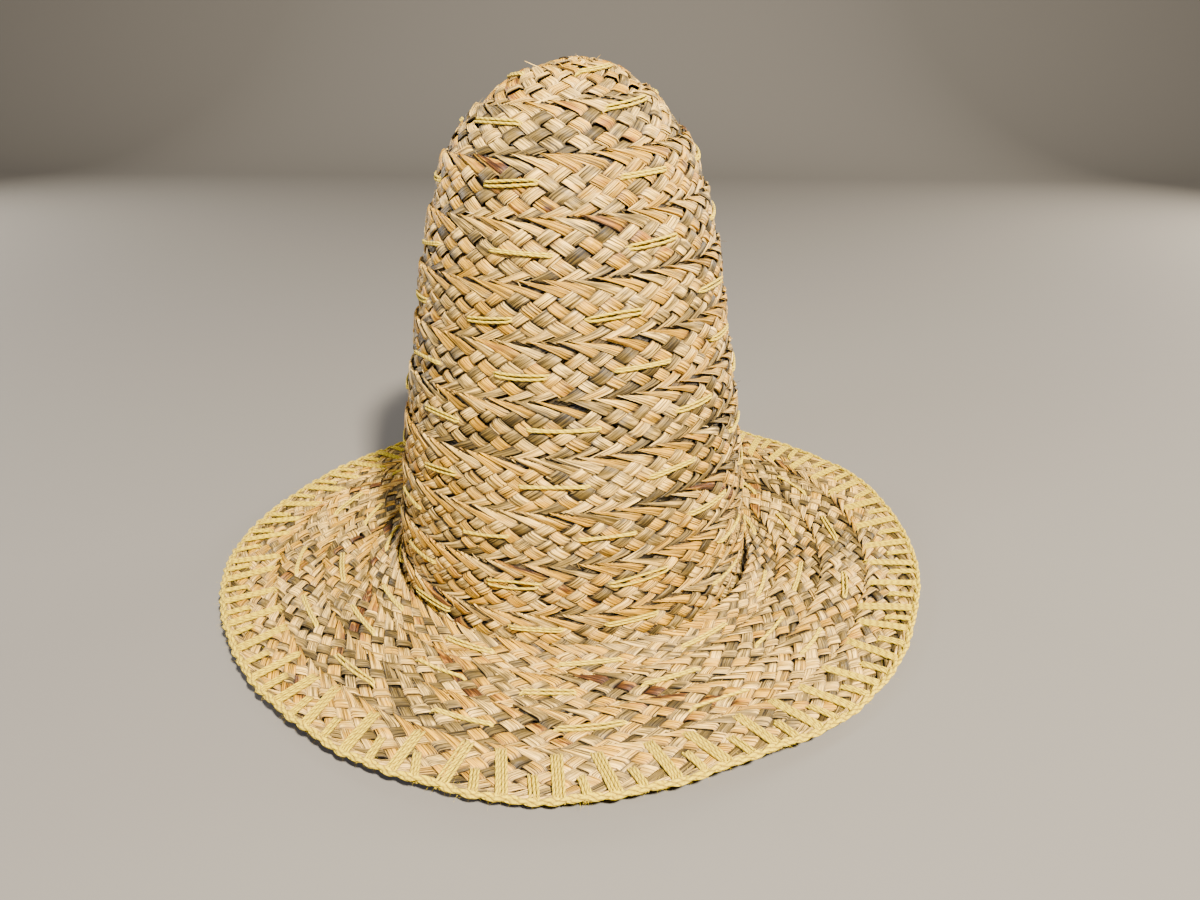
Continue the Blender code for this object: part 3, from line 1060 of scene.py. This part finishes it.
class HAT_OT_crown_plait(bpy.types.Operator):
    """Weave the coiled plait of the crown"""

    bl_idname = "straw_hat.crown_plait"
    bl_label = "Crown plait"

    def execute(self, context):
        random = np.random.default_rng(settings().seed)
        material = straw_material("split_straw_crown_plaited")
        coil = CrownCoil()
        cuts = (-FOLD_LEVEL // 2, *[int(share * coil.count) for share in CROWN_CUTS], coil.count)
        names = ("crown_plait_base", "crown_plait_wall", "crown_plait_tip")
        for name, start, stop in zip(names, cuts, cuts[1:]):
            dress(name, weave_part(coil, start, stop, random), material, "crown")
        return {"FINISHED"}


class HAT_OT_brim_plait(bpy.types.Operator):
    """Weave the four rows of the brim"""

    bl_idname = "straw_hat.brim_plait"
    bl_label = "Brim plait"

    def execute(self, context):
        random = np.random.default_rng(settings().seed + 1)
        material = straw_material("split_straw_brim_plaited")
        for number, row in enumerate(brim_rows(), 1):
            part = weave_part(row, 0, row.count, random)
            dress(f"brim_plait_row_{number}", part, material, "brim")
        return {"FINISHED"}


class HAT_OT_running_stitches(bpy.types.Operator):
    """Sew the doubled yarns through the rows of the crown and of the brim"""

    bl_idname = "straw_hat.running_stitches"
    bl_label = "Running stitches"

    def execute(self, context):
        random = np.random.default_rng(settings().seed + 2)
        chosen = settings().stitch_yarn_colour
        material = yarn_material("spun_yarn_pale_yellow", STITCH_YARN_TONES, chosen)
        coil = CrownCoil()
        sewn = running_part(coil, crown_stitches(coil, random), random)
        dress("crown_running_stitches", sewn, material)
        # The blanket stitches hold the last row.
        inner_rows = brim_rows()[:-1]
        sewn = join([running_part(row, brim_stitches(row, random), random) for row in inner_rows])
        dress("brim_running_stitches", sewn, material)
        return {"FINISHED"}


class HAT_OT_edge_yarns(bpy.types.Operator):
    """Lay the yarns along the brim's edge, sew the blanket stitches over them and add their fuzz"""

    bl_idname = "straw_hat.edge_yarns"
    bl_label = "Edge yarns"

    def execute(self, context):
        random = np.random.default_rng(settings().seed + 3)
        chosen = settings().edge_yarn_colour
        material = yarn_material("spun_yarn_yellow_bound_edge", EDGE_YARN_TONES, chosen)
        rope = edge_strands(EDGE_ROPE, rope_lie)
        dress("edge_rope", rope, material, "edge_binding")
        straws = edge_strands(EDGE_STRAWS, lambda azimuth: (0.0, 0.0))
        straws = straws._replace(
            grain=straws.grain * (1.0, 5.0, 1.0), tone=straws.tone + STRAW_EDGE_TONE
        )
        straw = straw_material("split_straw_brim_edge")
        dress("edge_straws", straws, straw, "edge_binding")
        kinds = len(BLANKET_STITCHES)
        sewn = [
            blanket_part(stitch, np.arange(kind, BLANKET_COUNT, kinds), random)
            for kind, stitch in enumerate(BLANKET_STITCHES)
        ]
        dress("edge_blanket_stitches", join(sewn), material)
        count = FUZZ_COUNT
        angle = random.uniform(-0.5, 1.9, count)
        azimuth = random.uniform(-math.pi, math.pi, count)
        start, away = edge_line(azimuth, FUZZ_PLACE * np.cos(angle), FUZZ_PLACE * np.sin(angle))
        fuzz = sliver_part(
            start,
            away + random.normal(0.0, 0.6, (count, 3)),
            random.normal(0.0, 0.5, (count, 3)),
            random.uniform(1.0, 3.2, count),
            np.full(count, FUZZ_WIDTH),
            np.zeros(count),
            random,
        )
        fuzz.points[:, 2] = np.maximum(fuzz.points[:, 2], FUZZ_CLEARANCE)
        dress("edge_yarn_fuzz", fuzz, material)
        return {"FINISHED"}


class HAT_OT_loose_straw(bpy.types.Operator):
    """Add the frayed ends of straw that stand out of the plait"""

    bl_idname = "straw_hat.loose_straw"
    bl_label = "Loose straw"

    def execute(self, context):
        random = np.random.default_rng(settings().seed + 4)
        material = straw_material("split_straw_frayed_ends")
        crown = frayed_part(CrownCoil(), CROWN_FRAYED, random)
        dress("crown_frayed_ends", crown, material)
        brim = join([frayed_part(row, BRIM_ROW_FRAYED, random) for row in brim_rows()])
        dress("brim_frayed_ends", brim, material)
        return {"FINISHED"}


# The stage

Camera = namedtuple("Camera", "place pitch_degrees roll_degrees focal_pixels image_width sensor_width")
CAMERA = Camera((14.9, -453.0, 276.0), 24.9, -0.45, 901.0, 1200.0, 36.0)
LAMPS = table(
    "Lamp",
    "name place size power colour",
    ("key_light", (0.46, -1.08, 1.34), 0.13, 172.0, "#FFF6EA"),
    ("fill_light", (-1.1, -0.8, 0.9), 0.3, 13.0, "#CED8F6"),
    ("top_light", (0.1, 0.3, 1.5), 0.4, 4.0, "#E4ECFF"),
    ("left_back_light", (-1.4, 0.9, 0.5), 0.5, 26.0, "#EEEAE6"),
    ("right_back_light", (1.4, 0.9, 0.5), 0.5, 38.0, "#FFF6EA"),
)
LIGHT_TARGET = Vector((0.0, 0.0, 0.1))
WORLD_COLOUR = "#DEE4F0"
WORLD_STRENGTH = 0.08
FLOOR_COLOUR = "#6C6860"


def add_lamp(lamp):
    """A soft square light that faces the hat. Its place is in metres."""
    data = bpy.data.lights.new(lamp.name, "AREA")
    data.shape = "SQUARE"
    data.size = lamp.size
    data.energy = lamp.power
    data.color = linear(lamp.colour)[:3]
    item = bpy.data.objects.new(lamp.name, data)
    item.location = lamp.place
    item.rotation_euler = (LIGHT_TARGET - Vector(lamp.place)).to_track_quat("-Z", "Y").to_euler()
    bpy.context.scene.collection.objects.link(item)


def add_floor():
    """A floor that runs back and curves up into the backdrop."""
    half_width = 3000.0
    front, back = -3000.0, 1500.0
    bend = 500.0
    top = 3500.0
    turns = np.linspace(0.0, 0.5 * math.pi, 13)[1:]
    line = [(front, 0.0), (back, 0.0)]
    line += [(back + bend * math.sin(turn), bend * (1.0 - math.cos(turn))) for turn in turns]
    line += [(back + bend, top)]
    points = np.array([(x, y, z) for y, z in line for x in (-half_width, half_width)])
    plain = np.zeros(len(points))
    part = Part(points, np.zeros_like(points), plain, plain, flat_quads(1, len(line)))
    add_piece("stage_floor", part, stage_material("painted_board_matt", FLOOR_COLOUR))


def add_camera():
    """The camera at the photograph's angle."""
    data = bpy.data.cameras.new("camera")
    data.sensor_width = CAMERA.sensor_width
    data.lens = CAMERA.focal_pixels / CAMERA.image_width * CAMERA.sensor_width
    data.clip_start = 0.01
    data.clip_end = 20.0
    item = bpy.data.objects.new("camera", data)
    item.location = Vector(CAMERA.place) * MM
    tilt = Euler((math.radians(90.0 - CAMERA.pitch_degrees), 0.0, 0.0)).to_matrix()
    roll = Euler((0.0, 0.0, math.radians(-CAMERA.roll_degrees))).to_matrix()
    item.rotation_euler = (tilt @ roll).to_euler()
    bpy.context.scene.collection.objects.link(item)
    bpy.context.scene.camera = item


class HAT_OT_stage(bpy.types.Operator):
    """Set the floor, the lights and the camera"""

    bl_idname = "straw_hat.stage"
    bl_label = "Stage"

    def execute(self, context):
        add_floor()
        world = bpy.data.worlds.new("studio")
        world.use_nodes = True
        background = world.node_tree.nodes["Background"]
        background.inputs["Color"].default_value = linear(WORLD_COLOUR)
        background.inputs["Strength"].default_value = WORLD_STRENGTH
        context.scene.world = world
        for lamp in LAMPS:
            add_lamp(lamp)
        add_camera()
        return {"FINISHED"}


OPERATORS = (
    HAT_OT_crown_plait,
    HAT_OT_brim_plait,
    HAT_OT_running_stitches,
    HAT_OT_edge_yarns,
    HAT_OT_loose_straw,
    HAT_OT_stage,
)


class HAT_PT_panel(bpy.types.Panel):
    """The hat's settings and the steps that build it"""

    bl_label = "Straw hat"
    bl_idname = "HAT_PT_panel"
    bl_space_type = "VIEW_3D"
    bl_region_type = "UI"
    bl_category = "Straw hat"

    def draw(self, context):
        for name in HatSettings.__annotations__:
            self.layout.prop(context.scene.straw_hat, name)
        for operator in OPERATORS:
            self.layout.operator(operator.bl_idname)


CLASSES = (HatSettings, *OPERATORS, HAT_PT_panel)


def register():
    """Register the classes and hang the settings on the scene."""
    for one in CLASSES:
        bpy.utils.register_class(one)
    bpy.types.Scene.straw_hat = bpy.props.PointerProperty(type=HatSettings)


def unregister():
    """Take the settings and the classes away again."""
    del bpy.types.Scene.straw_hat
    for one in reversed(CLASSES):
        bpy.utils.unregister_class(one)


def main():
    """Build the hat."""
    register()
    for operator in OPERATORS:
        area, step = operator.bl_idname.split(".")
        getattr(getattr(bpy.ops, area), step)()


if __name__ == "__main__":
    main()
